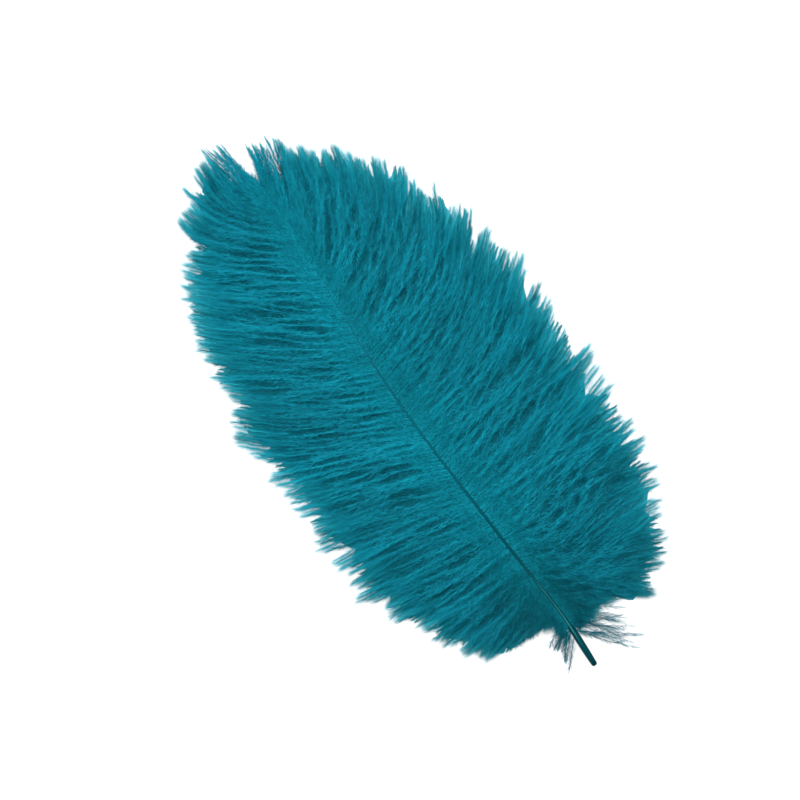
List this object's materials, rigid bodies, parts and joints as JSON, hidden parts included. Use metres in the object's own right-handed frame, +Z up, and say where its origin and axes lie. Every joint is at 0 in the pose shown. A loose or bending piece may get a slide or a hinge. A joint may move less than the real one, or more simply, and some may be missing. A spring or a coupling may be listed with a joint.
{
  "type": "ostrich feather",
  "caption": "Dyed ostrich feather lying flat: a slender tapering shaft with a broad soft vane of loose, fluffy barbs down each side and a bare quill end.",
  "frame": {"origin": "centre of the feather's outline, on the surface it lies on", "axes": "+Y runs from the quill end to the tip, +X to the right vane as seen from above, +Z up"},
  "size_m": [0.1454, 0.2856, 0.015],
  "materials": {
    "shaft": "dyed keratin, dark olive teal, softly glossy",
    "barbs": "soft matt fluff of dyed barbs, teal"
  },
  "bodies": {
    "root": {"shaft": "shaft", "vane_left": "barbs", "vane_right": "barbs"}
  },
  "joints": []
}
